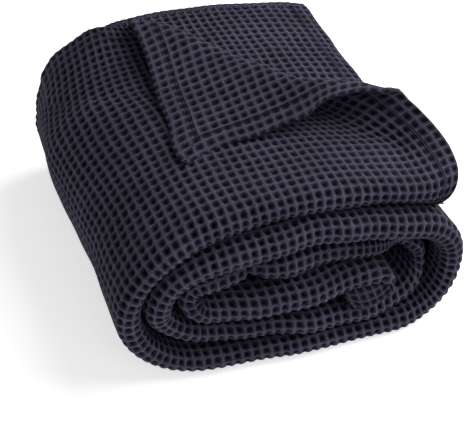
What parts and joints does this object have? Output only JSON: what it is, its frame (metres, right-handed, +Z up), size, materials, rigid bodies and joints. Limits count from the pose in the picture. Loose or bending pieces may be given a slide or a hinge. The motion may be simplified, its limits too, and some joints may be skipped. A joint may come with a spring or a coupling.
{
  "type": "rolled waffle weave cotton blanket",
  "caption": "Dark indigo waffle weave cotton blanket, folded into a soft band and wound flat into a roll, with a corner of its top layer turned back over the roll.",
  "frame": {"origin": "on the surface that the roll lies on, under the middle of its box", "axes": "+Z up; the roll's axis runs along Y with its open spiral end towards -Y; +X to the right, where the band's loose end lies"},
  "size_m": [0.4118, 0.4516, 0.2394],
  "materials": {
    "waffle_cotton": "matte dark indigo cotton, woven in deep square cells"
  },
  "bodies": {
    "root": {"rolled_blanket": "waffle_cotton", "turned_back_corner": "waffle_cotton"}
  },
  "joints": []
}
